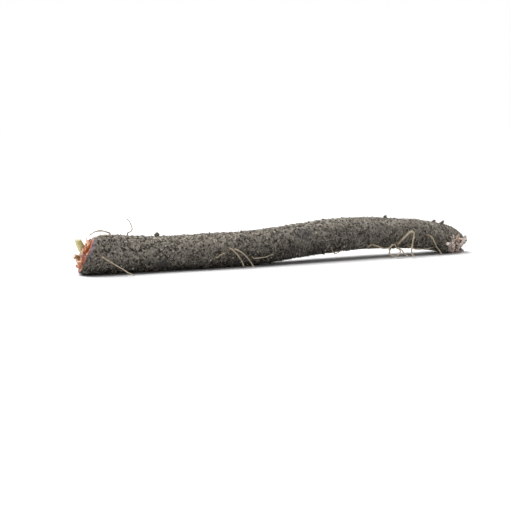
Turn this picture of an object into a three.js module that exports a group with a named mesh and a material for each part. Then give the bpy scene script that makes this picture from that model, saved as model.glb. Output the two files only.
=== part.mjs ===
// A black salsify root as it is lifted and sold: one long taproot with its leaves cut off at the
// crown, fine side rootlets, a few broken root stubs, torn strands at the tip, and clods of soil.
// Units are millimetres. The root lies along X with its crown at -X, on the surface at Z = 0.
import * as THREE from "three";

// ---- Driving dimensions ----

const CROWN_X = -150; // where the crown's cut face ends
const TIP_X = 154; // where the blunt tip ends
const TAPROOT_SIDES = 24;
const RING_STEP = 5; // spacing of the taproot's sections
const FLATTENING = 1.0; // how far the soft underside has settled into a flat
const CROWN_LEAN = 0.46; // the cut face leans back by this much for each mm of height
const CROWN_TURN = 0.24; // and by this much for each mm towards +Y
const SLANT_FADE = 36; // the slant dies out over this length of root
const GAP = 0.3; // clearance between one piece and the next

// The taproot's course: along X, sideways along Y, lift of the underside, radius.
const COURSE = [
  [-150, 0.6, 1.0, 13.1],
  [-130, 0.3, 0.2, 13.3],
  [-95, -0.4, 0.2, 12.1],
  [-60, -0.8, 0.8, 12.0],
  [-25, -0.2, 1.5, 12.0],
  [10, 2.4, 4.1, 11.9],
  [45, 6.2, 6.2, 12.1],
  [80, 8.6, 6.6, 11.7],
  [112, 7.4, 5.2, 11.3],
  [128, 7.0, 2.8, 11.2],
  [141, 6.4, 0.2, 10.9],
  [154, 5.6, -0.4, 8.4],
];

// How the taproot closes at its ends: distance in from the end, share of the full radius.
const CROWN_END = [
  [0, 0],
  [0, 0.4],
  [0, 0.84],
  [1.4, 0.93],
  [4.5, 0.985],
];
const TIP_END = [
  [12, 0.98],
  [8, 0.93],
  [4.6, 0.83],
  [2, 0.68],
  [0.6, 0.5],
  [0, 0.28],
  [0, 0],
];

// The tip snapped off at an angle: a flat break that faces outwards, down and to one side.
const BREAK_FACING = new THREE.Vector3(0.55, -0.8, -0.22).normalize();
const BREAK_POINT = new THREE.Vector3(147, -0.6, 9);

// ---- Materials ----

function finish(colour, roughness) {
  return new THREE.MeshStandardMaterial({ color: colour, roughness, metalness: 0 });
}

const ROOT_SKIN = finish(0x6b6255, 0.95);
const LEAF_BASE = finish(0xa8593a, 0.7);
const LEAF_STALK = finish(0xcfcc9a, 0.6);
const DRY_FIBRE = finish(0xb3a58c, 0.9);
const ROOTLET_SKIN = finish(0x9a8a6e, 0.9);
const TORN_FLESH = finish(0xd8c4b2, 0.8);
const SOIL = finish(0x4a4238, 1.0);

// ---- The taproot ----

const courseAt = new THREE.CubicInterpolant(
  COURSE.map(([along]) => along),
  COURSE.flatMap(([, ...rest]) => rest),
  3,
);

// The centre and radius of the taproot at a place along X.
function sectionAt(along) {
  const [sideways, lift, radius] = courseAt.evaluate(along);
  const height = radius + lift - FLATTENING;
  return { centre: new THREE.Vector3(along, sideways, height), radius };
}

// Roots are never quite round: two slow lobes that wander round the root along its length.
function outOfRound(along, angle) {
  const oval = 0.03 * Math.cos(2 * angle + along / 38);
  const triangle = 0.022 * Math.cos(3 * angle - along / 23 + 1.3);
  return 1 + oval + triangle;
}

// A point of the skin: angle 0 is the top, a quarter turn is the +Y side.
function skinPoint(along, angle, share = 1) {
  const { centre, radius } = sectionAt(along);
  const reach = radius * share * outOfRound(along, angle);
  const across = new THREE.Vector3(0, Math.sin(angle), Math.cos(angle));
  return centre.addScaledVector(across, reach);
}

// The crown leans back, the tip is snapped off, and the underside lies flat.
function shapeEnds(point) {
  const along = point.x;
  const lean = 1 - THREE.MathUtils.smoothstep(along, CROWN_X, CROWN_X + SLANT_FADE);
  const offset = point.clone().sub(sectionAt(along).centre);
  point.x += lean * (CROWN_LEAN * (offset.z + 6) + CROWN_TURN * offset.y);
  const proud = point.clone().sub(BREAK_POINT).dot(BREAK_FACING);
  if (proud > 0) point.addScaledVector(BREAK_FACING, -proud);
  point.z = Math.max(point.z, 0);
  return point;
}

function taproot() {
  const bodyStart = CROWN_X + CROWN_END.at(-1)[0] + RING_STEP;
  const bodyEnd = TIP_X - TIP_END[0][0] - RING_STEP;
  const bodyRings = Math.round((bodyEnd - bodyStart) / RING_STEP);
  const bodyStep = (bodyEnd - bodyStart) / bodyRings;
  const profile = [
    ...CROWN_END.map(([inward, share]) => new THREE.Vector2(share, CROWN_X + inward)),
    ...Array.from({ length: bodyRings + 1 }, (_, i) => new THREE.Vector2(1, bodyStart + i * bodyStep)),
    ...TIP_END.map(([inward, share]) => new THREE.Vector2(share, TIP_X - inward)),
  ];
  const blank = new THREE.LatheGeometry(profile, TAPROOT_SIDES);
  return reshape(blank, (point) => {
    const angle = Math.atan2(-point.x, point.z);
    const share = Math.hypot(point.x, point.z);
    return shapeEnds(skinPoint(point.y, angle, share));
  });
}

// ---- Tools for the small pieces ----

// Moves every vertex of a geometry by a function of its place.
function reshape(geometry, move) {
  const places = geometry.getAttribute("position");
  const point = new THREE.Vector3();
  for (let i = 0; i < places.count; i++) {
    const moved = move(point.fromBufferAttribute(places, i), i);
    places.setXYZ(i, moved.x, moved.y, moved.z);
  }
  places.needsUpdate = true;
  geometry.computeVertexNormals();
  return geometry;
}

// A closed tapered rod along a curve: a turned blank, bent ring by ring.
// thickness(share) gives its radius, and facing with flat makes an oval of it: flat times as thick
// along facing as across it.
function rod(curve, rings, thickness, { sides = 8, facing = null, flat = 1 } = {}) {
  const shares = [0, ...Array.from({ length: rings + 1 }, (_, i) => i / rings), 1];
  const profile = shares.map((share, i) => {
    const pole = i === 0 || i === shares.length - 1;
    return new THREE.Vector2(pole ? 0 : thickness(share), share);
  });
  const blank = new THREE.LatheGeometry(profile, sides);
  const frames = curve.computeFrenetFrames(rings, false);
  return reshape(blank, (point, i) => {
    const ring = THREE.MathUtils.clamp((i % shares.length) - 1, 0, rings);
    const tangent = frames.tangents[ring];
    const normal = frames.normals[ring].clone();
    if (facing) normal.copy(facing).addScaledVector(tangent, -facing.dot(tangent)).normalize();
    const binormal = new THREE.Vector3().crossVectors(tangent, normal);
    return curve
      .getPointAt(ring / rings)
      .addScaledVector(normal, point.z * flat)
      .addScaledVector(binormal, point.x);
  });
}

const smoothPath = (points) => new THREE.CatmullRomCurve3(points.map((p) => new THREE.Vector3(...p)));

// Where a piece that grows from the skin starts: just clear of it, straight out from the axis.
function rise(along, degrees, height) {
  const angle = THREE.MathUtils.degToRad(degrees);
  const foot = skinPoint(along, angle);
  const outward = new THREE.Vector3(0, Math.sin(angle), Math.cos(angle));
  return foot.addScaledVector(outward, height);
}

// ---- Side rootlets ----

// Each rootlet: where it leaves the skin (along, degrees from the top, minus is the -Y side),
// its thickness at the foot and at the end, and the places that it passes through after its foot.
const ROOTLETS = [
  { at: [-139, -90], thick: [1.5, 0.8], via: [[-134.5, -15.8, 9.6], [-128, -20.5, 5.2], [-122, -27, 1.3]] },
  { at: [-117.5, 4], thick: [1.3, 0.6], via: [[-113.8, 3, 28], [-113.6, 4, 31], [-115, 5, 34], [-116.6, 6, 36]] },
  { at: [-47.5, -80], thick: [1.4, 0.8], via: [[-43.2, -14.8, 10.4], [-40, -15.8, 5.6], [-39, -17.6, 1.3]] },
  { at: [-43.4, -84], thick: [1.4, 0.7], via: [[-38.2, -15, 10.2], [-33.8, -16, 5.2], [-32.6, -20.5, 1.3]] },
  { at: [-58, -104], thick: [1.2, 0.6], via: [[-55.6, -14.6, 10.2], [-51.4, -14.8, 11.6]] },
  { at: [-29.5, -116], thick: [1.2, 0.6], via: [[-25.6, -12.9, 6.6], [-20.4, -13, 7], [-14.6, -12.8, 8.4]] },
  { at: [35.5, -128], thick: [1.2, 0.6], via: [[36.4, -8, 5.8], [39.6, -8.4, 6.8], [43.4, -8.2, 8.2]] },
  {
    at: [67.5, -132],
    thick: [1.6, 0.9],
    via: [
      [69.5, -3.6, 10.4],
      [73, -4.8, 9.3],
      [78.3, -6.2, 7.4],
      [82.6, -7.5, 8],
      [85.3, -8.5, 10.7],
      [87.4, -9.5, 7.6],
      [90.9, -10.5, 6.2],
      [92.4, -11.8, 3.6],
      [94.6, -13.4, 1.3],
    ],
  },
  {
    at: [88, -146],
    thick: [1.5, 0.9],
    via: [[84, -5, 5.2], [82.2, -8.6, 3], [85, -11.4, 1.6], [88.6, -12.6, 4.4], [86.8, -12.8, 8.2]],
  },
  {
    at: [92, -124],
    thick: [1.9, 1.2],
    via: [
      [94.4, -5.6, 13.4],
      [98, -7.6, 17.3],
      [100, -9, 19.3],
      [101.6, -10, 18.1],
      [101, -11, 15],
      [99.5, -12, 10.6],
      [97.6, -13.5, 5],
      [98.8, -15.4, 1.4],
    ],
  },
  { at: [117, -88], thick: [1.4, 0.8], via: [[118.8, -7.8, 13.8], [121.4, -9.6, 7.4], [125, -12, 1.3]] },
  { at: [101.5, -132], thick: [1.2, 0.6], via: [[106.6, -3.6, 5.3], [112, -5, 4.9], [117.8, -7.4, 6]] },
  { at: [20, 96], thick: [1.5, 0.7], via: [[26.5, 18.5, 11], [32.5, 22.5, 4], [41, 24, 1.3]] },
  { at: [-88, 104], thick: [1.4, 0.7], via: [[-94, 15.6, 5.6], [-102, 19, 1.6], [-109, 18, 1.2]] },
  { at: [98, 88], thick: [1.4, 0.6], via: [[104, 21.6, 12.5], [105.5, 23.6, 5.4], [99, 25, 1.3]] },
];

function rootlet({ at: [along, degrees], thick: [foot, end], via }) {
  const path = smoothPath([rise(along, degrees, GAP).toArray(), rise(along, degrees, 1.8).toArray(), ...via]);
  const rings = 6 + 2 * via.length;
  return rod(path, rings, (share) => THREE.MathUtils.lerp(foot, end, Math.sqrt(share)) / 2);
}

// ---- The crown: cut leaf bases, leaf stalks and dry fibres ----

// The cut face's own frame: its centre, the way it faces, and the way up it.
const FACE_OUT = new THREE.Vector3(-1, CROWN_TURN, CROWN_LEAN).normalize();
const FACE_UP = new THREE.Vector3(0, 0, 1).addScaledVector(FACE_OUT, -FACE_OUT.z).normalize();
const FACE_SIDE = new THREE.Vector3().crossVectors(FACE_OUT, FACE_UP).negate();
const FACE_CENTRE = shapeEnds(sectionAt(CROWN_X).centre);

// A place over the cut face: radius from its centre, degrees from its top, height off it.
function overFace(radius, degrees, height) {
  const angle = THREE.MathUtils.degToRad(degrees);
  return FACE_CENTRE.clone()
    .addScaledVector(FACE_SIDE, radius * Math.sin(angle))
    .addScaledVector(FACE_UP, radius * Math.cos(angle))
    .addScaledVector(FACE_OUT, height);
}

// Each leaf base is a crescent: radius from the crown's middle, from and to in degrees, half its
// wall and its height off the face.
const LEAF_BASES = [
  { radius: 9.4, from: -152, to: -42, wall: 1.15, tall: 3.4 },
  { radius: 9.2, from: -28, to: 66, wall: 1.1, tall: 2.4 },
  { radius: 9.4, from: 82, to: 192, wall: 1.1, tall: 3.0 },
  { radius: 6.3, from: -118, to: -12, wall: 0.95, tall: 4.2 },
  { radius: 6.2, from: 12, to: 122, wall: 0.95, tall: 3.6 },
];

function leafBase({ radius, from, to, wall, tall }) {
  const steps = 5;
  const middle = GAP + tall / 2;
  const points = Array.from({ length: steps }, (_, i) =>
    overFace(radius, THREE.MathUtils.lerp(from, to, i / (steps - 1)), middle).toArray(),
  );
  const flat = tall / (2 * wall);
  const bulge = (share) => wall * (0.35 + 0.65 * Math.sin(Math.PI * THREE.MathUtils.clamp(share, 0.04, 0.96)));
  return rod(smoothPath(points), 12, bulge, { facing: FACE_OUT, flat });
}

// Each cut leaf stalk: its foot over the face, the way it points, length and thickness.
const LEAF_STALKS = [
  { foot: [2.2, -56], towards: [-0.42, -0.08, 0.9], length: 9.5, thick: 4.6 },
  { foot: [5.0, -140], towards: [-0.93, -0.22, 0.36], length: 6, thick: 3.2 },
];

function leafStalk({ foot: [radius, degrees], towards, length, thick }) {
  const way = new THREE.Vector3(...towards).normalize();
  const start = overFace(radius, degrees, GAP + thick * 0.42);
  const middle = start.clone().addScaledVector(way, length / 2).addScaledVector(FACE_OUT, 0.5);
  const end = start.clone().addScaledVector(way, length);
  const swell = (share) => (thick / 2) * (0.78 + 0.3 * Math.sin(Math.PI * (0.15 + 0.75 * share)));
  return rod(new THREE.QuadraticBezierCurve3(start, middle, end), 8, swell, { sides: 10 });
}

// Dry strands of old leaf sheath, which curl over the top of the crown.
const CROWN_FIBRES = [
  { thick: 1.0, via: [[-131, -1.5, 27.6], [-136, -2.6, 29.2], [-141.5, -3.4, 29], [-146.4, -4.4, 26.6]] },
  { thick: 0.9, via: [[-131.5, -6.5, 26.4], [-136.8, -8.2, 27.2], [-141.5, -8.6, 26.4], [-146, -8.4, 24.2]] },
  { thick: 0.9, via: [[-130.6, 4.6, 27.4], [-135.5, 5.8, 28.8], [-139.8, 5.4, 27.8], [-143.4, 3.2, 26.4]] },
];

function crownFibre({ thick, via }) {
  return rod(smoothPath(via), 10, (share) => (thick / 2) * (1 - 0.35 * share));
}

// ---- The tip: broken side-root stubs and torn strands ----

const ROOT_STUBS = [
  { at: [131, -104], towards: [0.5, -0.8, -0.3], length: 3.4, thick: 3.0 },
  { at: [133, -24], towards: [0.6, -0.3, 0.7], length: 2.4, thick: 2.4 },
  { at: [126, 112], towards: [0.4, 0.85, -0.25], length: 3.2, thick: 2.6 },
];

function rootStub({ at: [along, degrees], towards, length, thick }) {
  const way = new THREE.Vector3(...towards).normalize();
  const start = rise(along, degrees, GAP + thick * 0.45);
  const end = start.clone().addScaledVector(way, length);
  return rod(new THREE.LineCurve3(start, end), 4, (share) => (thick / 2) * (1 - 0.22 * share), { sides: 10 });
}

// A place over the break: sideways along it, up it, and height off it.
const BREAK_SIDE = new THREE.Vector3(0, 0, 1).cross(BREAK_FACING).normalize();
const BREAK_UP = new THREE.Vector3().crossVectors(BREAK_FACING, BREAK_SIDE);

function overBreak(sideways, up, height) {
  return BREAK_POINT.clone()
    .addScaledVector(BREAK_SIDE, sideways)
    .addScaledVector(BREAK_UP, up)
    .addScaledVector(BREAK_FACING, height);
}

const TIP_STRANDS = [
  { foot: [-3.0, 2.6], length: 3.8, lean: [0.3, 0.25] },
  { foot: [0.4, -2.4], length: 3.0, lean: [0.5, -0.2] },
  { foot: [2.8, 1.4], length: 4.4, lean: [0.45, 0.35] },
];

function tipStrand({ foot: [sideways, up], length, lean: [across, along] }) {
  const points = [0, 0.5, 1].map((share) => {
    const drift = share * share * length;
    return overBreak(sideways + across * drift, up + along * drift, GAP + share * length).toArray();
  });
  return rod(smoothPath(points), 6, (share) => 0.65 - 0.4 * share);
}

// ---- Clods of soil ----

const CLODS = [
  { at: [-96, 14], size: 3.0 },
  { at: [88, 6], size: 2.6 },
  { at: [128, -14], size: 2.8 },
  { at: [-128, 38], size: 3.4 },
  { at: [2, 64], size: 2.6 },
];

function clod({ at: [along, degrees], size }) {
  const lump = new THREE.IcosahedronGeometry(size / 2, 1);
  const centre = rise(along, degrees, GAP + size * 0.42);
  return reshape(lump, (point) => {
    const bumpy = 0.86 + 0.14 * Math.sin(2.3 * point.x + along) * Math.cos(2.9 * point.y - 1.7 * point.z);
    return point.clone().multiplyScalar(bumpy * (1 - 0.18 * Math.abs(point.z) / size)).add(centre);
  });
}

// ---- Assembly ----

const root = new THREE.Group();

function place(name, geometry, material) {
  const mesh = new THREE.Mesh(geometry, material);
  mesh.name = name;
  root.add(mesh);
}

const numbered = (stem, i) => `${stem}_${String(i + 1).padStart(2, "0")}`;

place("taproot", taproot(), ROOT_SKIN);
LEAF_BASES.forEach((shape, i) => place(numbered("leaf_base", i), leafBase(shape), LEAF_BASE));
LEAF_STALKS.forEach((shape, i) => place(numbered("leaf_stalk", i), leafStalk(shape), LEAF_STALK));
CROWN_FIBRES.forEach((shape, i) => place(numbered("crown_fibre", i), crownFibre(shape), DRY_FIBRE));
ROOTLETS.forEach((shape, i) => place(numbered("side_rootlet", i), rootlet(shape), ROOTLET_SKIN));
ROOT_STUBS.forEach((shape, i) => place(numbered("root_stub", i), rootStub(shape), TORN_FLESH));
TIP_STRANDS.forEach((shape, i) => place(numbered("tip_strand", i), tipStrand(shape), TORN_FLESH));
CLODS.forEach((shape, i) => place(numbered("soil_clod", i), clod(shape), SOIL));

// The part's origin is on the surface, under the middle of its bounding box.
const box = new THREE.Box3().setFromObject(root, true);
const middle = box.getCenter(new THREE.Vector3());
for (const mesh of root.children) mesh.geometry.translate(-middle.x, -middle.y, -box.min.z);

export default root;
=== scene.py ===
# %% [markdown]
# # A black salsify root, as dug
#
# Black salsify is a long taproot with a corky, almost black skin. Dug and sold unwashed it is
# grey-brown, because dry soil clings to the skin and to a felt of fine rootlets. Its leaves are cut
# off at the crown, where the milky sap has dried orange and purple, and the tip has snapped off.
#
# This lesson makes its surface in Blender, round a construction model that fixes every size.

import bpy
import numpy as np
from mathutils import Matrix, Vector


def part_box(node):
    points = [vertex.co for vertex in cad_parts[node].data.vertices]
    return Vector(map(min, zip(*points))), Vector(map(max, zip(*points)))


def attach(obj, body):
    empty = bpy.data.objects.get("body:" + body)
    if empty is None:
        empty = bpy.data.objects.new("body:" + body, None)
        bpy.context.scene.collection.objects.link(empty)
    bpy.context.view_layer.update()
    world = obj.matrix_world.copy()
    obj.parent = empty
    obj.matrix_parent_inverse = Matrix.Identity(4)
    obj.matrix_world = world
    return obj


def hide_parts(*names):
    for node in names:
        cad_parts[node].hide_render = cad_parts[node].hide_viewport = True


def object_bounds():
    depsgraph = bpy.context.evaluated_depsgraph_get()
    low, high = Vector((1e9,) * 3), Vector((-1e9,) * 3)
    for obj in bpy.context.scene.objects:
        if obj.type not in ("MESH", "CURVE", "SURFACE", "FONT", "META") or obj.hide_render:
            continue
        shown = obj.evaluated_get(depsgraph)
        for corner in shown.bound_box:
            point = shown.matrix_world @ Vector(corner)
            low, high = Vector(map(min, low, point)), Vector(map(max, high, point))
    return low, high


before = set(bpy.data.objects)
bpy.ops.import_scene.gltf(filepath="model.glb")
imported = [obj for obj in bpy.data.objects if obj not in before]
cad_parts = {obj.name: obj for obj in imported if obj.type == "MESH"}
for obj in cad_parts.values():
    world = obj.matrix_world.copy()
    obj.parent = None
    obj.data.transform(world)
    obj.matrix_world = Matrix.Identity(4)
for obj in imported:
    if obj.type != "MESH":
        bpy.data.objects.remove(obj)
CAD_BOX = [list(corner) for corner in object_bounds()]
MM = 0.001
rng = np.random.default_rng(20)
print("nodes:", len(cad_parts), "box:", np.round(CAD_BOX, 4).tolist())

# %% [markdown]
# ## The camera and the light
#
# They come first, so that every later step can be looked at. The camera is low and looks along the
# root from its crown. One broad lamp hangs above, as in a light tent: it whitens the floor, lights the
# top of the root and leaves its belly dark. The world is white for the camera but gives less light.

# %% Camera, floor and lamps
AZIMUTH = np.radians(-23)
ELEVATION = np.radians(7.5)
DISTANCE = 0.866
FIELD_OF_VIEW = np.radians(24)
AIM_FROM_MIDDLE = Vector((-0.0197, 0.0075, -0.0122))

low, high = (Vector(corner) for corner in CAD_BOX)
aim = (low + high) / 2 + AIM_FROM_MIDDLE
away = Vector(
    (
        np.sin(AZIMUTH) * np.cos(ELEVATION),
        -np.cos(AZIMUTH) * np.cos(ELEVATION),
        np.sin(ELEVATION),
    )
)
camera = bpy.data.objects.new("camera", bpy.data.cameras.new("camera"))
camera.data.angle = FIELD_OF_VIEW
camera.data.clip_start = 0.01
camera.location = aim + away * DISTANCE
camera.rotation_euler = away.to_track_quat("Z", "Y").to_euler()
bpy.context.scene.collection.objects.link(camera)
bpy.context.scene.camera = camera
bpy.context.scene.view_settings.view_transform = "Standard"


def lamp(name, towards, spread, strength):
    """A sun whose light is as soft as a bright patch of sky `spread` degrees across."""
    data = bpy.data.lights.new(name, "SUN")
    data.angle = np.radians(spread)
    data.energy = strength
    light = bpy.data.objects.new(name, data)
    light.rotation_euler = Vector(towards).to_track_quat("Z", "Y").to_euler()
    bpy.context.scene.collection.objects.link(light)


lamp("overhead", (-0.3, 0.42, 1.0), 62, 4.55)

world = bpy.data.worlds.new("tent")
world.use_nodes = True
bpy.context.scene.world = world
backdrop = world.node_tree.nodes["Background"]
ray = world.node_tree.nodes.new("ShaderNodeLightPath")
level = world.node_tree.nodes.new("ShaderNodeMapRange")
level.inputs["To Min"].default_value = 0.2
level.inputs["To Max"].default_value = 1.0
world.node_tree.links.new(ray.outputs["Is Camera Ray"], level.inputs["Value"])
world.node_tree.links.new(level.outputs["Result"], backdrop.inputs["Strength"])
backdrop.inputs["Color"].default_value = (1, 1, 1, 1)
print("camera at", np.round(camera.location, 3).tolist())

# %% [markdown]
# ## Shader sums in plain Python
#
# A finish is mostly arithmetic on masks. `Wire` wraps a socket so that `1 - mask` or `a * b` adds the
# Math node for it, and `Look` makes any other node from its type, its settings and its sockets.


# %% A material toolkit
class Wire:
    """The output of a node, for use in sums."""

    def __init__(self, look, socket):
        self.look = look
        self.socket = socket

    def _maths(self, operation, *values):
        return self.look.node("Math", {"operation": operation}, dict(enumerate(values)))

    def __add__(self, other):
        return self._maths("ADD", self, other)

    def __sub__(self, other):
        return self._maths("SUBTRACT", self, other)

    def __rsub__(self, other):
        return self._maths("SUBTRACT", other, self)

    def __mul__(self, other):
        return self._maths("MULTIPLY", self, other)

    __radd__ = __add__
    __rmul__ = __mul__


class Look:
    """A material that is being wired up, with one Principled shader."""

    def __init__(self, name, **constants):
        self.material = bpy.data.materials.new(name)
        self.material.use_nodes = True
        self.tree = self.material.node_tree
        self.shader = self.tree.nodes["Principled BSDF"]
        for socket, value in constants.items():
            self.shader.inputs[socket.replace("_", " ").title()].default_value = value

    def _feed(self, socket, value):
        if isinstance(value, Wire):
            self.tree.links.new(value.socket, socket)
        else:
            socket.default_value = value

    def node(self, kind, settings=None, sockets=None, output=0):
        """Adds a node, sets it, then fills its sockets with numbers or wires."""
        node = self.tree.nodes.new("ShaderNode" + kind)
        for setting, value in (settings or {}).items():
            setattr(node, setting, value)
        for key, value in (sockets or {}).items():
            self._feed(node.inputs[key], value)
        return Wire(self, node.outputs[output])

    def place(self):
        """Object coordinates, in metres."""
        return self.node("TexCoord", output="Object")

    def attribute(self, name):
        return self.node("Attribute", {"attribute_name": name}, output="Fac")

    def noise(self, grain, detail=2.0, roughness=0.55, distortion=0.0, stretch=(1, 1, 1)):
        """Noise whose lumps are about grain metres across, squeezed along each axis by stretch."""
        where = self.node(
            "Mapping", {}, {"Vector": self.place(), "Scale": [s / grain / 2 for s in stretch]}
        )
        sockets = {
            "Vector": where,
            "Scale": 1.0,
            "Detail": detail,
            "Roughness": roughness,
            "Distortion": distortion,
        }
        return self.node("TexNoise", {}, sockets)

    def step(self, value, low, high):
        """0 below low, 1 above high, and a smooth rise between."""
        sockets = {"Value": value, "From Min": low, "From Max": high}
        return self.node("MapRange", {"interpolation_type": "SMOOTHSTEP"}, sockets)

    def mix(self, share, first, second):
        sockets = {0: share, 6: first, 7: second}
        return self.node("Mix", {"data_type": "RGBA"}, sockets, output=2)

    def finish(self, colour, roughness, height=None, depth=0.3 * MM, strength=1.0):
        self._feed(self.shader.inputs["Base Color"], colour)
        self._feed(self.shader.inputs["Roughness"], roughness)
        if height is not None:
            sockets = {"Height": height, "Distance": depth, "Strength": strength}
            self._feed(self.shader.inputs["Normal"], self.node("Bump", {}, sockets))
        return self.material


def tint(red, green, blue):
    """A colour given as it looks on a screen, 0 to 255, turned into a linear one."""
    screen = np.array([red, green, blue]) / 255
    linear = np.where(screen > 0.04045, ((screen + 0.055) / 1.055) ** 2.4, screen / 12.92)
    return (*linear.tolist(), 1.0)


# %% [markdown]
# ## Sections of the frame
#
# Every rod-like solid of the frame, the taproot included, is a stack of rings between two poles. The
# rings are found by walking outwards from a pole, one ring a step. Put in order they are a small table
# of places, and a smooth curve through its rows and columns gives as fine a surface as is wanted.


# %% Reading rings from a node
def welded(node):
    """The node's separate triangles as places and numbers: corners that share a place become one."""
    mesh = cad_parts[node].data
    places = np.empty(3 * len(mesh.vertices))
    mesh.vertices.foreach_get("co", places)
    corners = np.empty(3 * len(mesh.polygons), int)
    mesh.polygons.foreach_get("vertices", corners)
    spots = places.reshape(-1, 3)[corners]
    _, first, index = np.unique(
        np.round(spots / 1e-6).astype(int), axis=0, return_index=True, return_inverse=True
    )
    return spots[first], index.reshape(-1, 3)


def unit(vectors):
    """The same directions, one long. A vector of no length stays as it is."""
    length = np.linalg.norm(vectors, axis=-1, keepdims=True)
    return vectors / np.maximum(length, 1e-12)


def rings(node):
    """The node's rings as an array of rings x sides x 3, with each pole repeated as a ring.

    A ring is the set of places that are the same number of edges away from the first pole. Round a
    ring the places go counter-clockwise about the way that the rod runs, and each ring starts where
    it lies closest to the one before.
    """
    places, triangles = welded(node)
    edges = np.concatenate([triangles[:, [0, 1]], triangles[:, [1, 2]], triangles[:, [2, 0]]])
    edges = np.unique(np.concatenate([edges, edges[:, ::-1]]), axis=0)
    valence = np.bincount(edges[:, 0])
    poles = np.flatnonzero(valence == valence.max())
    step = np.full(len(places), -1)
    step[poles[np.argmin(places[poles, 0])]] = 0
    while (step < 0).any():
        reached = edges[step[edges[:, 0]] == step.max(), 1]
        step[reached[step[reached] < 0]] = step.max() + 1
    sides = valence.max()
    stack = [np.repeat(places[step == 0], sides, axis=0)]
    ahead = places[step == min(5, step.max())].mean(0) - places[step == 0][0]
    for number in range(1, step.max()):
        ring = places[step == number]
        arms = ring - ring.mean(0)
        facing = np.linalg.svd(arms)[2][2]
        facing = facing * np.sign(facing @ ahead)
        ahead = facing
        side = np.cross(facing, arms[0])
        ring = ring[np.argsort(np.arctan2(arms @ unit(side), arms @ unit(arms[0])))]
        turns = (np.arange(sides)[:, None] + np.arange(sides)) % sides
        apart = np.linalg.norm(ring[turns] - stack[-1], axis=2).sum(1)
        stack.append(ring[turns[np.argmin(apart)]] if number > 1 else ring)
    stack.append(np.repeat(places[step == step.max()], sides, axis=0))
    return np.array(stack)


def blend_rows(count, at, closed):
    """The matrix that takes a table of count rows to the places `at` on a Catmull-Rom curve."""
    base = np.floor(at).astype(int)
    t = at - base
    weights = [
        (-t + 2 * t**2 - t**3) / 2,
        (2 - 5 * t**2 + 3 * t**3) / 2,
        (t + 4 * t**2 - 3 * t**3) / 2,
        (-(t**2) + t**3) / 2,
    ]
    matrix = np.zeros((len(at), count))
    for shift, weight in enumerate(weights):
        row = base + shift - 1
        row = row % count if closed else np.clip(row, 0, count - 1)
        np.add.at(matrix, (np.arange(len(at)), row), weight)
    return matrix


def refine(stack, cell, around):
    """A fine grid over a stack of rings: rows about cell apart, and `around` places in each row."""
    gaps = np.linalg.norm(np.diff(stack, axis=0), axis=2).mean(1)
    counts = np.maximum(2, np.round(gaps / cell)).astype(int)
    at = np.concatenate([i + np.arange(n) / n for i, n in enumerate(counts)] + [[len(counts)]])
    down = blend_rows(len(stack), at, closed=False)
    across = blend_rows(stack.shape[1], np.arange(around) * stack.shape[1] / around, closed=True)
    return np.einsum("ul,lsk,vs->uvk", down, stack, across), at


taproot_rings = rings("taproot")
print("taproot:", taproot_rings.shape[0], "rings of", taproot_rings.shape[1])

# %% [markdown]
# ## Meshes from grids
#
# A grid of places closes into a tube when its last column meets its first, and into a solid when its
# end rows shrink to a point. One function does that for one tube or for a thousand alike.


# %% Turning grids into pieces
def tube_faces(rows, sides):
    """Quads between rows of a tube, and a fan of triangles at each end."""
    number = 1 + np.arange((rows - 2) * sides).reshape(rows - 2, sides)
    following = np.roll(number, -1, axis=1)
    quads = np.stack([number[:-1], following[:-1], following[1:], number[1:]], axis=-1)
    end = 1 + number.size
    start_fan = np.stack([np.zeros(sides, int), following[0], number[0]], axis=-1)
    end_fan = np.stack([np.full(sides, end), number[-1], following[-1]], axis=-1)
    return quads.reshape(-1, 4), np.concatenate([start_fan, end_fan])


def tube_places(grids):
    """Places of closed tubes: each grid's end rows become their middle."""
    first = grids[..., 0, :, :].mean(-2, keepdims=True)
    last = grids[..., -1, :, :].mean(-2, keepdims=True)
    inner = grids[..., 1:-1, :, :].reshape(*grids.shape[:-3], -1, 3)
    return np.concatenate([first, inner, last], axis=-2)


def piece(name, places, faces, look, slot, replaces=(), smooth=True, **attributes):
    """A mesh object from places and lists of faces, riding on the root's one body."""
    mesh = bpy.data.meshes.new(name)
    sizes = np.concatenate([np.full(len(group), group.shape[1]) for group in faces])
    corners = np.concatenate([group.ravel() for group in faces])
    mesh.vertices.add(len(places))
    mesh.vertices.foreach_set("co", places.ravel())
    mesh.loops.add(len(corners))
    mesh.loops.foreach_set("vertex_index", corners)
    mesh.polygons.add(len(sizes))
    mesh.polygons.foreach_set("loop_start", np.concatenate([[0], np.cumsum(sizes)[:-1]]))
    mesh.update(calc_edges=True)
    mesh.polygons.foreach_set("use_smooth", np.full(len(sizes), smooth))
    for attribute, values in attributes.items():
        layer = mesh.attributes.new(attribute, "FLOAT", "POINT")
        layer.data.foreach_set("value", np.ascontiguousarray(values, dtype=np.float32))
    obj = bpy.data.objects.new(name, mesh)
    bpy.context.scene.collection.objects.link(obj)
    obj.data.materials.append(look)
    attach(obj, "root")
    if replaces:
        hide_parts(*replaces)
    print(f"{name}: {len(places)} places, {int((sizes - 2).sum())} triangles")
    return obj


def tubes(name, grids, look, slot, replaces=(), **attributes):
    """Closed tubes, all with the same number of rows and sides, as one piece."""
    grids = grids.reshape(-1, *grids.shape[-3:])
    places = tube_places(grids)
    step = places.shape[1] * np.arange(len(grids))[:, None, None]
    faces = [
        (group[None] + step).reshape(-1, group.shape[1])
        for group in tube_faces(*grids.shape[1:3])
    ]
    values = {
        key: tube_places(np.repeat(value.reshape(*grids.shape[:3], 1), 3, -1))[..., 0].ravel()
        for key, value in attributes.items()
    }
    return piece(name, places.reshape(-1, 3), faces, look, slot, replaces, **values)


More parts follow.
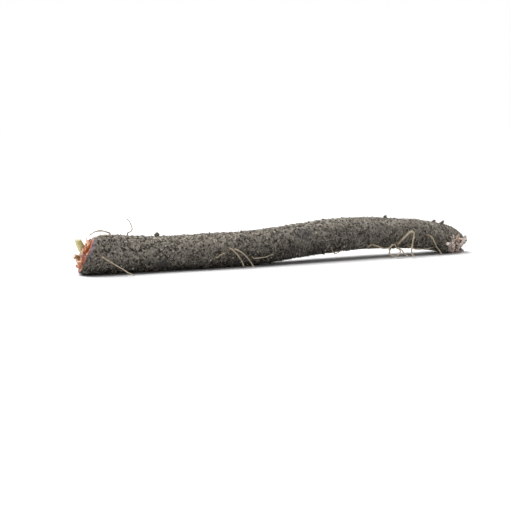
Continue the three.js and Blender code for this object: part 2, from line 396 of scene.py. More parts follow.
def above_floor(places):
    """The same places, none lower than the surface that the root lies on."""
    return np.concatenate([places[..., :2], np.maximum(places[..., 2:], 0)], axis=-1)


# %% [markdown]
# ## Noise for shapes
#
# Natural surfaces need smooth random numbers at several sizes. Random values sit on the corners of a
# cubic lattice, and each place blends the eight corners of its own cell.

# %% Lattice noise
LATTICE = rng.uniform(-1, 1, 4096)


def noise(places, cell, seed=0):
    """Smooth noise from -1 to 1 with lumps about one cell across. cell may differ along X, Y and Z."""
    spot = places / np.asarray(cell) + 31.7 * seed
    base = np.floor(spot).astype(np.int64)
    t = spot - base
    t = t**3 * (t * (6 * t - 15) + 10)
    total = np.zeros(places.shape[:-1])
    for corner in np.ndindex(2, 2, 2):
        weight = np.prod(np.where(corner, t, 1 - t), axis=-1)
        x, y, z = np.moveaxis(base + corner, -1, 0)
        total += weight * LATTICE[(x * 73856093 ^ y * 19349663 ^ z * 83492791) & 4095]
    return total


def smooth_step(value, low, high):
    """0 below low, 1 above high, and a smooth rise between."""
    t = np.clip((value - low) / (high - low), 0, 1)
    return t * t * (3 - 2 * t)


def normals(grid):
    """The outward direction at each place of a grid: across its columns, then down its rows."""
    down = np.gradient(grid, axis=0)
    across = (np.roll(grid, -1, axis=1) - np.roll(grid, 1, axis=1)) / 2
    return unit(np.cross(across, down))


# %% [markdown]
# ## Where things are on the taproot
#
# The ends of the taproot are cut faces: flat, and larger than any other facet near them. Adding up the
# areas of the triangles that face the same way finds each of them.


# %% The two flat ends
def flat_end(node, side):
    """The middle and the facing of the largest flat near one end of a node (side -1 or 1 along X)."""
    places, triangles = welded(node)
    corners = places[triangles]
    doubled = np.cross(corners[:, 1] - corners[:, 0], corners[:, 2] - corners[:, 0])
    middle = corners.mean(1)
    reach = (middle[:, 0] - places[:, 0].mean()) * side
    near = (reach > reach.max() - 25 * MM) & (doubled[:, 0] * side > 0)
    facing, group = np.unique(np.round(unit(doubled), 2), axis=0, return_inverse=True)
    area = np.bincount(group.ravel(), np.linalg.norm(doubled, axis=1) * near, len(facing))
    chosen = (group.ravel() == area.argmax()) & near
    weight = np.linalg.norm(doubled[chosen], axis=1)
    return (middle[chosen] * weight[:, None]).sum(0) / weight.sum(), unit(doubled[chosen].sum(0))


crown_middle, crown_facing = flat_end("taproot", -1)
break_middle, break_facing = flat_end("taproot", 1)
print("crown faces", np.round(crown_facing, 2), "break faces", np.round(break_facing, 2))

# %% [markdown]
# ## The skin
#
# The skin is one closed surface over the taproot's sections, with cells of about half a millimetre. It
# could be smooth with a bump map, but its outline is rough, so the lumps, wrinkles and crust are real.
# The same masks that shape it are kept as attributes, so that colour and shape agree.

# %% A fine grid over the taproot
AROUND = 152
body, _ = refine(taproot_rings, 0.56 * MM, AROUND)
outward = normals(body)
spine = body.mean(1)
radius = np.linalg.norm(body - spine[:, None], axis=2)
turn = np.arctan2(body[..., 1] - spine[:, None, 1], body[..., 2] - spine[:, None, 2])

off_crown = (body - crown_middle) @ crown_facing
off_break = (body - break_middle) @ break_facing
crown_face = smooth_step(off_crown + 0.25 * MM * noise(body, 1.6 * MM, 1), -0.9 * MM, -0.25 * MM)
collar = smooth_step(off_crown + 1.3 * MM * noise(body, 2.2 * MM, 2), -3.4 * MM, -2.2 * MM)
collar = collar * smooth_step(body[..., 2] + 3 * MM * noise(body, 3 * MM, 4), 8 * MM, 17 * MM)
near_tip = body[..., 0] > break_middle[0] - 25 * MM
low_side = smooth_step(np.cos(turn - np.radians(-118)), 0.2, 0.95)
flesh_edge = off_break + 3.4 * MM * low_side + (0.5 + 1.8 * low_side) * MM * noise(body, 1.7 * MM, 3)
flesh = smooth_step(flesh_edge, -0.8 * MM, -0.1 * MM) * near_tip
print("grid:", body.shape, "flesh places:", int((flesh > 0.5).sum()))


# %% [markdown]
# Smooth bare patches are where soil and rootlets were rubbed away. Each is an oval, found from its place
# along the root and its angle round it. The soil is painted darker low down and on the underside, as
# painted shade, and dries palest along the top of the half towards the tip.


# %% Masks over the skin
def oval(along, degrees, half_length, half_degrees):
    """1 inside an oval patch of the skin and 0 outside it, with a ragged edge."""
    a = (body[..., 0] - along) / half_length
    b = (np.degrees(turn) - degrees) / half_degrees
    ragged = 0.28 * noise(body, 2.2 * MM, 5) + 0.16 * noise(body, 0.9 * MM, 6)
    return 1 - smooth_step(np.hypot(a, b) + ragged, 0.75, 1.1)


BARE_PATCHES = [
    (12 * MM, -62, 8 * MM, 22),
    (-96 * MM, -118, 6 * MM, 16),
    (64 * MM, 80, 9 * MM, 24),
    (-30 * MM, 128, 10 * MM, 20),
]
bare = np.max([oval(*patch) for patch in BARE_PATCHES], axis=0)
ends = np.maximum(crown_face, flesh)
dusty = (1 - bare) * (1 - ends) * (1 - 0.75 * collar)
# Painted shade: the next lines darken the skin low down near the floor and on its underside, less near the
# crown.
damp = 1 - smooth_step(body[..., 2] + 1.5 * MM * noise(body, 7 * MM, 7), 1 * MM, 19 * MM)
underside = 1 - smooth_step(np.cos(turn) + 0.15 * noise(body, 4 * MM, 8), -0.6, 1.0)
damp = np.maximum(damp, underside * (0.35 + 0.65 * smooth_step(body[..., 0], -110 * MM, -10 * MM)))
dry_top = (1 - underside) * smooth_step(body[..., 0], -60 * MM, 110 * MM)

# %% [markdown]
# Height over the plain skin is a sum: broad lumps, shallow folds that run round the root, and two sizes
# of soil crust. The crust is thickest where the rootlets' felt holds it, towards the tip.

# %% Shaping the skin
lumps = 0.36 * MM * noise(body, (14 * MM, 9 * MM, 9 * MM), 10)
wobble = body + 1.5 * MM * noise(body, 9 * MM, 11)[..., None]
folds = 0.20 * MM * noise(wobble, (2.1 * MM, 9 * MM, 9 * MM), 12)
folds = folds - 0.34 * MM * smooth_step(noise(wobble, (3.4 * MM, 16 * MM, 16 * MM), 13), 0.35, 0.8)
coarse = np.abs(noise(body, 2.3 * MM, 14))
fine = noise(body, 1.05 * MM, 15)
grit = noise(body, 0.7 * MM, 16)
crust = dusty * (0.3 * (1 - 2 * coarse) + 0.55 * fine + 0.45 * grit)
height = lumps + folds * (1 - ends) + 0.30 * MM * crust

# The crown's face is a shallow cup of cut leaf bases, rings within rings.
from_centre = np.linalg.norm(body - crown_middle, axis=2)
cup = smooth_step(from_centre, 0, 8.5 * MM) - 1
leaf_rings = np.sin(from_centre / (0.62 * MM) + 2.5 * noise(body, 5 * MM, 17))
sinew = noise(body, (0.9 * MM, 0.8 * MM, 0.8 * MM), 18)
height += crown_face * (3.2 * MM * cup + 0.3 * MM * leaf_rings + 0.35 * MM * sinew)
top_of_face = crown_middle + 8.5 * MM * unit(np.array([0, 0, 1]) - crown_facing[2] * crown_facing)
pit = 1 - smooth_step(np.linalg.norm(body - top_of_face, axis=2), 1.4 * MM, 3.6 * MM)
height -= pit * 1.4 * MM

# The break is torn along the root's fibres, with two cavities where bundles pulled out.
side_of_break = unit(np.cross([0, 0, 1], break_facing))
up_the_break = np.cross(break_facing, side_of_break)
across_break = (body - break_middle) @ side_of_break
up_break = (body - break_middle) @ up_the_break
torn = noise(body, 1.7 * MM, 19) + 0.7 * np.abs(noise(body, 0.95 * MM, 20))
height += flesh * (1.1 * MM * torn - 0.2 * MM)
CAVITIES = [(-3.4 * MM, -0.8 * MM, 4.2 * MM, 4.0 * MM), (2.2 * MM, 4.2 * MM, 3.0 * MM, 3.0 * MM)]
cavity = np.zeros_like(height)
for across, up, size, depth in CAVITIES:
    hollow = 1 - smooth_step(np.hypot(across_break - across, up_break - up), 0.7 * size, size)
    height -= flesh * hollow * depth
    cavity = np.maximum(cavity, hollow * flesh)
rusty = np.hypot(across_break + 4.4 * MM, up_break - 3.6 * MM) + 0.7 * MM * noise(body, 1.5 * MM, 29)
rusty = (1 - smooth_step(rusty, 1.0 * MM, 2.6 * MM)) * near_tip * (off_break > -5 * MM)
skin_grid = above_floor(body + outward * height[..., None])
skin_outward = normals(skin_grid)
print("relief from", round(height.min() / MM, 2), "to", round(height.max() / MM, 2), "mm")

# %% [markdown]
# ## The finish of the skin
#
# Dry soil is a pale grey-brown, the corky skin under it nearly black with a violet cast, and between
# the two lies every shade, a millimetre or less across. So the colour is chosen by how high a place
# stands in the crust, broken up with fine noise. The belly and the low side are painted darker, as painted
# shade.

# %% Skin, crown and flesh colours
look = Look("earthy_skin")
look.shader.inputs["Specular IOR Level"].default_value = 0.25
speck = look.noise(0.75 * MM, detail=3.0, roughness=0.75)
blotch = look.noise(1.7 * MM, detail=3.0, roughness=0.6)
region = look.noise(14 * MM, detail=2.0)
crust_up = look.attribute("crust")
dust = look.step(speck * 1.2 + blotch * 0.4 + crust_up * 0.3, 0.66, 0.95)
soil_dark = look.mix(region, tint(44, 42, 40), tint(66, 59, 50))
soil_mid = look.mix(blotch, tint(142, 135, 123), tint(170, 163, 152))
soil_mid = look.mix(look.attribute("dry_top") * 0.5, soil_mid, tint(206, 201, 190))
soil = look.mix(dust, soil_dark, soil_mid)
pale = look.step(look.noise(0.95 * MM, detail=2.0, roughness=0.6), 0.58, 0.64)
soil = look.mix(pale * look.step(crust_up, -0.3, 0.5) * 0.85, soil, tint(222, 214, 198))
rust = look.step(look.noise(3.4 * MM, detail=3.0), 0.6, 0.72)
soil = look.mix(rust * 0.3, soil, tint(118, 82, 60))
cork = look.mix(speck, tint(66, 66, 69), tint(104, 102, 102))
surface = look.mix(look.attribute("bare") * 0.62, soil, cork)
ridge = look.mix(look.step(blotch, 0.35, 0.65), tint(116, 104, 116), tint(160, 148, 152))
surface = look.mix(look.attribute("collar") * 0.85, surface, ridge)
streak = look.step(look.noise(1.5 * MM, detail=3.0, distortion=1.2), 0.42, 0.6)
latex = look.mix(streak, tint(204, 124, 80), tint(132, 104, 112))
latex = look.mix(look.step(look.noise(2.2 * MM, detail=2.0), 0.56, 0.68), latex, tint(226, 192, 168))
# Painted shade: the deepest part of the crown's cup is darkened to near black.
latex = look.mix(look.attribute("hollow"), latex, tint(40, 26, 20))
surface = look.mix(look.attribute("crown_face"), surface, latex)
pith = look.mix(look.step(speck, 0.4, 0.56), tint(134, 108, 94), tint(248, 232, 222))
pith = look.mix(look.step(look.noise(1.6 * MM, detail=2.0), 0.56, 0.62), pith, tint(96, 82, 70))
# Painted shade: the two cavities in the break are darkened to near black.
pith = look.mix(look.attribute("cavity"), pith, tint(30, 22, 18))
surface = look.mix(look.attribute("flesh"), surface, pith)
surface = look.mix(look.attribute("rusty"), surface, tint(196, 134, 62))
# Painted shade: the pit at the top of the crown's face is darkened to near black.
surface = look.mix(look.attribute("pit"), surface, tint(34, 24, 20))
# Painted shade: low places and the underside are darkened towards near black.
shade = look.mix(look.attribute("damp") * 0.84, surface, tint(22, 20, 18))
roughness = 0.97 - look.attribute("bare") * 0.25 - look.attribute("flesh") * 0.3
fine_height = speck * 0.7 + blotch * 0.5
earthy_skin = look.finish(shade, roughness, fine_height, depth=0.45 * MM, strength=0.9)

tubes(
    "taproot_skin",
    skin_grid,
    earthy_skin,
    "root_skin",
    ["taproot"],
    crust=crust,
    bare=bare,
    collar=collar * (1 - crown_face),
    crown_face=crown_face,
    hollow=crown_face * smooth_step(-cup, 0.55, 0.95),
    flesh=flesh,
    cavity=cavity,
    rusty=rusty * 0.9,
    pit=pit,
    damp=damp * (1 - ends),
    dry_top=dry_top,
)

# %% [markdown]
# ## Finding places on the finished skin
#
# Everything small grows from the skin, so it needs the skin's place and facing at any point. Rows and
# columns of the grid serve as coordinates, and whole arrays of them are looked up at once.


# %% Looking up the skin
def on_skin(rows, columns):
    """The place and the outward direction of the skin at rows and columns with fractions."""
    rows = np.clip(rows, 1, len(skin_grid) - 2.01)
    row = np.floor(rows).astype(int)
    column = np.floor(columns).astype(int)
    down = (rows - row)[..., None]
    across = (columns - column)[..., None]

    def blended(table):
        left, right = column % AROUND, (column + 1) % AROUND
        upper = table[row, left] * (1 - across) + table[row, right] * across
        lower = table[row + 1, left] * (1 - across) + table[row + 1, right] * across
        return upper * (1 - down) + lower * down

    return blended(skin_grid), unit(blended(skin_outward))


def scatter(count, share):
    """Random rows and columns, kept in proportion to a map of shares from 0 to 1 over the skin."""
    weight = (share * radius).ravel()
    weight = weight / weight.sum()
    cell = rng.choice(weight.size, count, p=weight)
    row, column = np.unravel_index(cell, share.shape)
    return row + rng.uniform(0, 1, count), column + rng.uniform(0, 1, count)


def strand_grids(path, facing, thickness, sides, flat=1.0):
    """Tubes along many paths at once.

    path is strands x rows x 3. Each ring lies across the path: thickness wide along the cross product
    of the path's direction and `facing`, and flat times that the other way.
    """
    ahead = unit(np.gradient(path, axis=-2))
    across = unit(np.cross(facing, ahead))
    up = np.cross(ahead, across)
    angle = 2 * np.pi * np.arange(sides) / sides
    ring = across[..., None, :] * np.cos(angle)[:, None] + up[..., None, :] * np.sin(angle)[:, None] * flat
    return path[..., None, :] + ring * thickness[..., None, None] / 2


# %% [markdown]
# ## Grains of soil
#
# Loose crumbs of soil are real solids, thousands of them, so each has only twenty faces: a battered
# icosahedron, half sunk in the crust. They roughen the outline in a way that no bump map does.


# %% Soil grains
def icosahedron():
    """Twelve places on a sphere and twenty triangles: three golden rectangles, one across each axis."""
    gold = (1 + 5**0.5) / 2
    flat = np.array([(0, s, t * gold) for s in (-1, 1) for t in (-1, 1)])
    corners = np.concatenate([np.roll(flat, shift, axis=1) for shift in range(3)])
    apart = np.linalg.norm(corners[:, None] - corners, axis=2)
    touching = np.abs(apart - 2) < 0.01
    trios = [
        (a, b, c)
        for a in range(12)
        for b in range(a + 1, 12)
        for c in range(b + 1, 12)
        if touching[a, b] and touching[b, c] and touching[a, c]
    ]
    outwards = [
        (a, b, c)
        if np.dot(np.cross(corners[b] - corners[a], corners[c] - corners[a]), corners[a]) > 0
        else (a, c, b)
        for a, b, c in trios
    ]
    return unit(corners), np.array(outwards)


def turned(count):
    """Random turns, as count rotation matrices, from random unit quaternions."""
    w, x, y, z = unit(rng.normal(size=(count, 4))).T
    rows = [
        [1 - 2 * (y * y + z * z), 2 * (x * y - w * z), 2 * (x * z + w * y)],
        [2 * (x * y + w * z), 1 - 2 * (x * x + z * z), 2 * (y * z - w * x)],
        [2 * (x * z - w * y), 2 * (y * z + w * x), 1 - 2 * (x * x + y * y)],
    ]
    return np.moveaxis(np.array(rows), -1, 0)


def grains(name, places, sizes, look):
    """Crumbs at the given places: icosahedra stretched, battered and turned at random."""
    ball, faces = icosahedron()
    count = len(places)
    shape = ball * rng.uniform(0.65, 1.2, (count, 1, 3)) * rng.uniform(0.8, 1.15, (count, 12, 1))
    shape = np.einsum("nij,nkj->nki", turned(count), shape) * sizes[:, None, None] / 2
    corners = above_floor(places[:, None] + shape)
    numbers = faces[None] + 12 * np.arange(count)[:, None, None]
    tone = np.repeat(rng.uniform(0, 1, count), 12)
    return piece(
        name, corners.reshape(-1, 3), [numbers.reshape(-1, 3)], look, "soil", smooth=False, tone=tone
    )


look = Look("soil_crumb")
crumb = look.mix(look.attribute("tone"), tint(38, 36, 34), tint(176, 168, 156))
crumb = look.mix(look.step(look.attribute("tone"), 0.9, 1.0), crumb, tint(232, 226, 214))
crumb = look.mix(look.noise(0.5 * MM, detail=2.0) * 0.5, crumb, tint(84, 76, 66))
soil_crumb = look.finish(crumb, 0.98, look.noise(0.3 * MM), depth=0.1 * MM)

rows, columns = scatter(6400, dusty * (0.35 + 0.65 * smooth_step(crust, -0.2, 0.5)))
spot, way = on_skin(rows, columns)
size = rng.uniform(0.42, 0.8, len(spot)) * MM
grains("fine_crumbs", spot + way * size[:, None] * 0.15, size, soil_crumb)
rows, columns = scatter(1900, dusty * (0.3 + 0.7 * smooth_step(noise(body, 8 * MM, 21), -0.2, 0.6)))
spot, way = on_skin(rows, columns)
size = (0.8 + 0.9 * rng.random(len(spot)) ** 3) * MM
grains("coarse_crumbs", spot + way * size[:, None] * 0.18, size, soil_crumb)

# %% [markdown]
# ## Clods
#
# A clod is a lump of crumbs pressed together. Its solid in the frame gives the place and the size; the
# lump here reaches a little further down, so that it is stuck to the skin.


# %% Clods
def clod(node):
    """A ball grid, stretched to the node's box and down to the skin, crumbly, with its tones."""
    low, high = (np.array(corner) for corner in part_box(node))
    middle, reach = (low + high) / 2, (high - low) / 2
    polar = np.linspace(0, np.pi, 18)[:, None]
    around = np.linspace(0, 2 * np.pi, 28, endpoint=False)
    ball = np.stack(
        [
            -np.cos(polar) + 0 * around,
            np.sin(polar) * np.cos(around),
            np.sin(polar) * np.sin(around),
        ],
        axis=-1,
    )
    nearest = np.argmin(np.linalg.norm(skin_grid.reshape(-1, 3) - middle, axis=1))
    inward = skin_grid.reshape(-1, 3)[nearest] - middle
    places = middle + ball * reach * 1.15
    facing = np.maximum(ball @ unit(inward), 0)
    places = places + facing[..., None] * inward * 0.9 + 0.25 * inward
    crumbly = 0.3 * noise(places, 1.5 * MM, 22) + 0.22 * noise(places, 0.7 * MM, 23)
    return places + ball * reach * crumbly[..., None], 0.45 + 0.35 * noise(places, 1.0 * MM, 37)


for node in sorted(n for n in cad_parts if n.startswith("soil_clod")):
    ball, tone = clod(node)
    tubes(node.replace("soil_", "pressed_"), ball, soil_crumb, "soil", [node], tone=tone)

# %% [markdown]
# ## Side rootlets
#
# Each rootlet follows its solid's sections, made finer, with the knots and thin places of a dried
# root, and flares into the skin at its foot.

# %% Rootlets
look = Look("straw_rootlet")
along = look.attribute("along")
straw = look.mix(look.noise(1.2 * MM, detail=3.0), tint(124, 110, 90), tint(224, 208, 180))
straw = look.mix(look.step(along, 0.1, 0.0) * 0.7, straw, tint(150, 84, 56))
straw = look.mix(look.step(look.noise(2.5 * MM), 0.55, 0.7) * 0.6, straw, tint(86, 76, 64))
straw_rootlet = look.finish(straw, 0.85, look.noise(0.4 * MM, detail=3.0), depth=0.15 * MM)


def rooted(node, cell=0.45 * MM, around=10, flare=1.5, depth=1.4 * MM):
    """The node's sections, finer, with knots, and its foot carried down into the skin with a flare."""
    stack = rings(node)
    first, last = stack[0, 0], stack[-1, 0]
    skin_places = skin_grid.reshape(-1, 3)
    gap = [np.linalg.norm(skin_places - end, axis=1).min() for end in (first, last)]
    if gap[1] < gap[0]:
        stack = stack[::-1, ::-1]
    foot = stack[1].mean(0)
    back = unit(foot - stack[3].mean(0))
    collar_rings = [foot + back * d * depth + (stack[1] - foot) * f for d, f in ((1, flare), (0.4, 1.25))]
    stack = np.concatenate([[collar_rings[0] * 0 + foot + back * depth], collar_rings, stack[1:]])
    grid, _ = refine(stack, cell, around)
    middle = grid.mean(1, keepdims=True)
    knots = 0.22 * noise(middle, 2.4 * MM, 24) + 0.3 * smooth_step(noise(middle, 1.3 * MM, 25), 0.4, 0.8)
    sway = 0.35 * MM * np.stack([noise(middle, 3.2 * MM, seed) for seed in (26, 27, 28)], axis=-1)
    sway = sway * np.linspace(0, 1, len(grid))[:, None, None]
    grid = middle + sway + (grid - middle) * 0.88 * (1 + knots[..., None])
    along = np.repeat(np.linspace(0, 1, len(grid))[:, None], around, axis=1)
    return above_floor(grid), along


for node in sorted(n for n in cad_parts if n.startswith("side_rootlet")):
    grid, along = rooted(node)
    tubes(node.replace("side_", ""), grid, straw_rootlet, "rootlet_skin", [node], along=along)

# %% [markdown]
# ## The felt of fine rootlets
#
# Hair-fine rootlets lie round the root and hold its soil. A hair is a three-sided tube of eight rings
# that keeps close to the skin, because its path is laid out in the skin's own rows and columns.


# %% Fine rootlets
def hairs(name, count, share, reach, rise, thickness, look, slope=1.0, slot="rootlet_skin"):
    """Curved hairs: each starts at a scattered place and runs round the skin, with a slant and a wave.

    reach is the range of lengths, rise how far the free end may stand off, both in metres.
    """
    rows, columns = scatter(count, share)
    s = np.linspace(0, 1, 8)
    length = rng.uniform(*reach, (count, 1))
    heading = rng.choice([-1, 1], (count, 1)) * np.pi / 2 + rng.normal(0, 0.5 * slope, (count, 1))
    bend = rng.normal(0, 0.9, (count, 1))
    angle = heading + bend * s + 0.35 * np.sin(7 * s + rng.uniform(0, 6, (count, 1)))
    stride = length / 0.5 / MM / len(s)
    path_rows = rows[:, None] + np.cumsum(np.cos(angle) * stride, axis=1)
    path_columns = columns[:, None] + np.cumsum(np.sin(angle) * stride, axis=1)
    places, way = on_skin(path_rows, path_columns)
    lift = rng.uniform(*rise, (count, 1)) * s**2 + rng.uniform(0.05, 0.3, (count, 1)) * MM
    path = places + way * lift[..., None]
    wide = rng.uniform(*thickness, (count, 1)) * (1 - 0.5 * s)
    grids = above_floor(strand_grids(path, way, wide, 3))
    tone = np.repeat(rng.uniform(0, 1, (count, 1, 1)), 8, axis=1) + np.zeros((1, 1, 3))
    return tubes(name, grids, look, slot, tone=tone)


look = Look("hair_rootlet")
hair = look.mix(look.attribute("tone"), tint(104, 97, 88), tint(222, 214, 200))
hair = look.mix(look.noise(2 * MM) * 0.4, hair, tint(104, 94, 80))
hair_rootlet = look.finish(hair, 0.9)

towards_tip = smooth_step(body[..., 0], 20 * MM, 90 * MM)
felt_share = dusty * (0.16 + towards_tip)
stray_share = dusty * (0.5 + 0.5 * towards_tip)
fine = (0.18 * MM, 0.34 * MM)
hairs("felt_of_rootlets", 3400, felt_share, (3 * MM, 10 * MM), (0, 0.4 * MM), fine, hair_rootlet)
hairs("stray_rootlets", 1000, stray_share, (2 * MM, 7 * MM), (0.3 * MM, 2.2 * MM), fine, hair_rootlet, 2.0)


# %% [markdown]
# ## The crown
#
# The leaves were cut off, and their bases wrap round each other like the layers of an onion. Each one is
# a crescent. Its cut edge is ragged, its sides are ribbed by veins, and sap has dried on it in orange,
# purple and cream. Two stalks were cut higher and still stand: a fresh green one and a small tan one.

# %% Finishes of the crown
look = Look("dried_latex")
vein = look.noise(1.1 * MM, detail=4.0, roughness=0.65, distortion=0.8)
leaf_orange = look.mix(look.step(vein, 0.3, 0.7), tint(150, 78, 48), tint(222, 138, 84))
purple = look.step(look.noise(2.6 * MM, detail=3.0), 0.5, 0.62)
leaf_orange = look.mix(purple * 0.8, leaf_orange, tint(132, 104, 116))
cream = look.step(look.attribute("rim") + look.noise(1.4 * MM) * 0.9, 1.2, 1.5)
leaf_orange = look.mix(cream * 0.8, leaf_orange, tint(228, 204, 180))
# Painted shade: every piece with this finish is darkened towards its foot, where it meets the crown between
# the layers.
leaf_orange = look.mix(look.step(look.attribute("rim"), 0.35, 0.0) * 0.7, leaf_orange, tint(70, 44, 36))
dried_latex = look.finish(leaf_orange, 0.62, vein, depth=0.3 * MM)

look = Look("green_stalk", subsurface_weight=0.1)
fibre = look.noise(0.7 * MM, detail=3.0, stretch=(1, 1, 0.25))
stalk = look.mix(look.attribute("along"), tint(226, 216, 178), tint(206, 208, 150))
stalk = look.mix(look.step(fibre, 0.5, 0.7) * 0.5, stalk, tint(184, 176, 112))
stalk = look.mix(look.attribute("rim") * 0.85, stalk, tint(238, 230, 200))
stalk = look.mix(look.step(look.noise(2.2 * MM), 0.6, 0.7) * 0.6, stalk, tint(160, 118, 72))
green_stalk = look.finish(stalk, 0.5, fibre, depth=0.15 * MM)

look = Look("tan_stalk")
fibre = look.noise(0.6 * MM, detail=3.0)
stalk = look.mix(fibre, tint(148, 116, 82), tint(208, 184, 146))
stalk = look.mix(look.attribute("rim"), stalk, tint(232, 208, 198))
tan_stalk = look.finish(stalk, 0.7, fibre, depth=0.15 * MM)

look = Look("dry_sheath")
thread = look.noise(0.8 * MM, detail=3.0)
sheath = look.mix(look.step(thread, 0.35, 0.65), tint(120, 100, 78), tint(206, 192, 166))
sheath = look.mix(look.step(look.attribute("tone"), 0.72, 0.8) * 0.85, sheath, tint(196, 96, 60))
dry_sheath = look.finish(sheath, 0.85, thread, depth=0.1 * MM)


# %% Leaf bases and stalks
def leaf_base(node):
    """The crescent's sections, finer, with vein ribs down its sides and a ragged cut edge."""
    grid, _ = refine(rings(node), 0.32 * MM, 30)
    middle = grid.mean(1, keepdims=True)
    arm = grid - middle
    tall = arm @ crown_facing
    rim = smooth_step(tall / np.abs(tall).max(), -1, 1)
    ribs = 0.16 * MM * noise(grid, (0.7 * MM, 0.7 * MM, 0.7 * MM), 30)
    ragged = 1.2 * MM * noise(middle, 1.2 * MM, 31) + 0.7 * MM * noise(middle, 0.55 * MM, 32)
    ragged = ragged - (0.35 + 0.35 * noise(middle, 3.5 * MM, 36)) * np.maximum(tall, 0)
    shaped = grid + unit(arm) * ribs[..., None]
    shaped = shaped + (rim * (ragged + 0.5 * MM))[..., None] * crown_facing
    return shaped - 1.0 * MM * (1 - rim)[..., None] * crown_facing, rim


def stalk_stub(node, hollow):
    """The stalk's sections, finer, ribbed along its length, with a sunken cut end and a buried foot."""
    stack = rings(node)
    far, near = stack[-1, 0] - crown_middle, stack[0, 0] - crown_middle
    if far @ crown_facing < near @ crown_facing:
        stack = stack[::-1, ::-1]
    down = unit(stack[1].mean(0) - stack[-2].mean(0))
    stack = np.concatenate([stack[:1] + down * 1.6 * MM, stack[1:2] + down * 1.5 * MM, stack[1:]])
    grid, _ = refine(stack, 0.3 * MM, 28)
    middle = grid.mean(1, keepdims=True)
    angle = 2 * np.pi * np.arange(28) / 28
    ribs = 0.05 * np.sin(7 * angle) + 0.06 * noise(grid, 1.2 * MM, 33)
    along = np.clip((middle - middle[0]) @ -down / np.linalg.norm(middle[-1] - middle[0]), 0, 1)
    along = along + 0 * angle
    grid = middle + (grid - middle) * (1 + ribs[..., None])
    wide = np.linalg.norm(grid - middle, axis=2)
    cut = smooth_step(along, 0.96, 0.995)
    inside = 1 - smooth_step(wide / wide.max(), 0.35, 0.8)
    grid = grid + (cut * inside * hollow)[..., None] * down
    slant = cut[..., None] * down * ((grid - middle) @ unit(np.cross(down, [0, 1, 0])))[..., None] * 0.5
    return grid + slant, along, cut


for node in sorted(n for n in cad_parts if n.startswith("leaf_base")):
    grid, rim = leaf_base(node)
    tubes(node.replace("leaf_", "cut_leaf_"), grid, dried_latex, "leaf_base", [node], rim=rim)
STALKS = {"leaf_stalk_01": (green_stalk, 1.0 * MM), "leaf_stalk_02": (tan_stalk, 0.3 * MM)}
for node, (stalk_look, hollow) in STALKS.items():
    grid, along, cut = stalk_stub(node, hollow)
    tubes(node.replace("leaf_", "cut_"), grid, stalk_look, "leaf_stalk", [node], along=along, rim=cut)

# %% [markdown]
# Old sheaths leave a fringe round the crown: dry strands that curl over its rim, and small torn flaps.
# Both are drawn as many paths at once, from feet spaced round the rim of the cut face.


# %% The crown's fringe
def rim_feet(middle, facing, reach, count):
    """Random places on a ring about a cut face, each with the way out from the middle."""
    side = unit(np.cross([0, 0, 1], facing))
    up = np.cross(facing, side)
    angle = rng.uniform(0, 2 * np.pi, (count, 1))
    outwards = np.cos(angle) * side + np.sin(angle) * up
    return middle + outwards * rng.uniform(*reach, (count, 1)), outwards


def fringe(name, feet, outwards, facing, length, spread, look, slot, width, sides, flat):
    """Strands or flaps from their feet: forwards along `facing`, then bending out and to one side."""
    count = len(feet)
    s = np.linspace(0, 1, 9)[:, None]
    reach = rng.uniform(*length, (count, 1, 1))
    sideways = np.cross(facing, outwards)[:, None] * rng.normal(0, 0.5, (count, 1, 1))
    out = outwards[:, None] * rng.uniform(*spread, (count, 1, 1))
    path = feet[:, None] + reach * (facing * s * (1 - 0.35 * s) + (out + sideways) * s**2)
    path = path - facing * 0.8 * MM
    path = path + 0.25 * reach * s * noise(path, 2.5 * MM, 34)[..., None] * outwards[:, None]
    wide = rng.uniform(*width, (count, 1)) * (1 - 0.6 * s[:, 0] ** 2)
    grids = above_floor(strand_grids(path, outwards[:, None], wide, sides, flat))
    tone = np.repeat(rng.uniform(0, 1, (count, 1, 1)), 9, axis=1) + np.zeros((1, 1, sides))
    rim = np.broadcast_to(s[None], (count, 9, 1)) + np.zeros((1, 1, sides))
    return tubes(name, grids, look, slot, tone=tone, rim=rim)


thread = dict(width=(0.16 * MM, 0.4 * MM), sides=4, flat=1.0)
flap = dict(width=(0.8 * MM, 1.9 * MM), sides=8, flat=0.14)
crown_radius = 11.5 * MM
rim = rim_feet(crown_middle, crown_facing, (0.3 * crown_radius, crown_radius), 170)
fringe(
    "sheath_threads", *rim, crown_facing, (1.2 * MM, 3.6 * MM), (-0.4, 0.9), dry_sheath, "dry_fibre", **thread
)
rim = rim_feet(crown_middle, crown_facing, (0.84 * crown_radius, 1.0 * crown_radius), 46)
fringe("sheath_flaps", *rim, crown_facing, (0.8 * MM, 2.2 * MM), (0.0, 0.7), dried_latex, "leaf_base", **flap)
feet = top_of_face + rng.normal(0, 1.9 * MM, (34, 3)) * [0.5, 1.2, 0.6]
fringe(
    "sap_stained_strands", feet, unit(rng.normal(0, 1, (34, 3)) + [0.7, -0.7, 0.6]), crown_facing,
    (2.0 * MM, 4.4 * MM), (0.2, 1.2), dried_latex, "leaf_base",
    width=(0.5 * MM, 1.0 * MM), sides=6, flat=0.5,
)

for node in sorted(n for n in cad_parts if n.startswith("crown_fibre")):
    grid, along = rooted(node, flare=1.1, depth=0.6 * MM)
    tubes(node.replace("crown_", "sheath_"), grid, dry_sheath, "dry_fibre", [node], tone=0.5 + 0 * along)

# %% [markdown]
# ## The broken tip
#
# Where the tip snapped, pale fibrous flesh shows, with the skin torn in a thin papery edge round it and
# strands that stretched before they broke. Side roots broke off near it and left short pale stubs.

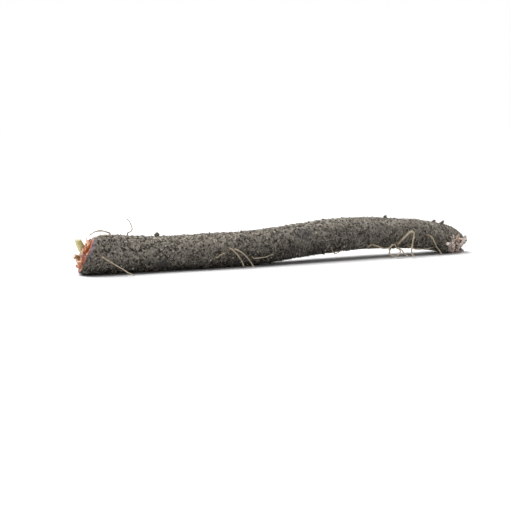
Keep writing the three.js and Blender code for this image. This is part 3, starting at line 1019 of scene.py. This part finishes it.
# %% Tip pieces
look = Look("pale_flesh")
thread = look.noise(0.7 * MM, detail=4.0, roughness=0.65)
white = look.mix(look.step(thread, 0.3, 0.5), tint(156, 120, 102), tint(250, 234, 224))
white = look.mix(look.step(look.noise(1.8 * MM), 0.6, 0.7) * 0.5, white, tint(176, 138, 100))
white = look.mix(look.attribute("skinned"), white, tint(96, 86, 76))
pale_flesh = look.finish(white, 0.7, thread, depth=0.2 * MM)

look = Look("papery_skin")
film = look.noise(1.0 * MM, detail=3.0)
paper_colour = look.mix(look.step(film, 0.35, 0.65), tint(186, 180, 172), tint(246, 242, 237))
papery_skin = look.finish(paper_colour, 0.75, film, depth=0.1 * MM)

for node in sorted(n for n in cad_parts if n.startswith("root_stub")):
    grid, along = rooted(node, cell=0.3 * MM, around=16, flare=1.35)
    skinned = 1 - smooth_step(along + 0.2 * noise(grid, 1 * MM, 35), 0.62, 0.86)
    tubes(node.replace("root_", "broken_"), grid, pale_flesh, "torn_flesh", [node], skinned=skinned)
for node in sorted(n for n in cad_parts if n.startswith("tip_strand")):
    grid, along = rooted(node, cell=0.3 * MM, flare=1.5)
    tubes(node.replace("tip_", "torn_"), grid, pale_flesh, "torn_flesh", [node], skinned=0 * along)

edge = (flesh > 0.25) & (flesh < 0.85)
edge = edge & (cavity < 0.05) & (across_break > -1.5 * MM)
picked = rng.choice(int(edge.sum()), 30)
feet = skin_grid[edge][picked]
out = unit(feet - break_middle)
flap = dict(width=(1.0 * MM, 2.4 * MM), sides=8, flat=0.12)
fringe(
    "torn_skin_edge", feet, out, break_facing, (1.2 * MM, 2.6 * MM), (0.1, 0.8), papery_skin, "torn_flesh",
    **flap,
)
far_edge = edge & (across_break > 2 * MM)
picked = rng.choice(int(far_edge.sum()), 16)
feet = skin_grid[far_edge][picked]
wide = dict(width=(3.0 * MM, 4.6 * MM), sides=10, flat=0.07)
ahead = unit(np.array([0.95, -0.3, 0.05]))
out = unit(feet - break_middle)
fringe("papery_sheet", feet, out, ahead, (4.0 * MM, 6.2 * MM), (-0.2, 0.3), papery_skin, "torn_flesh", **wide)
inner = (flesh > 0.9) & (cavity < 0.02) & (rusty < 0.3)
picked = rng.choice(int(inner.sum()), 110)
feet = skin_grid[inner][picked]
out = unit(feet - break_middle)
thread = dict(width=(0.18 * MM, 0.46 * MM), sides=4, flat=1.0)
fringe(
    "flesh_threads", feet, out, break_facing, (0.7 * MM, 1.6 * MM), (-0.3, 0.8), pale_flesh, "torn_flesh",
    **thread,
)

# %% [markdown]
# ## The floor
#
# A plain white floor catches a soft shadow.

# %% Floor
mesh = bpy.data.meshes.new("floor")
mesh.from_pydata([(-3, -3, 0), (3, -3, 0), (3, 3, 0), (-3, 3, 0)], [], [(0, 1, 2, 3)])
floor = bpy.data.objects.new("floor", mesh)
bpy.context.scene.collection.objects.link(floor)
paper = Look("paper_floor")
floor.data.materials.append(paper.finish(tint(247, 247, 248), 0.9))
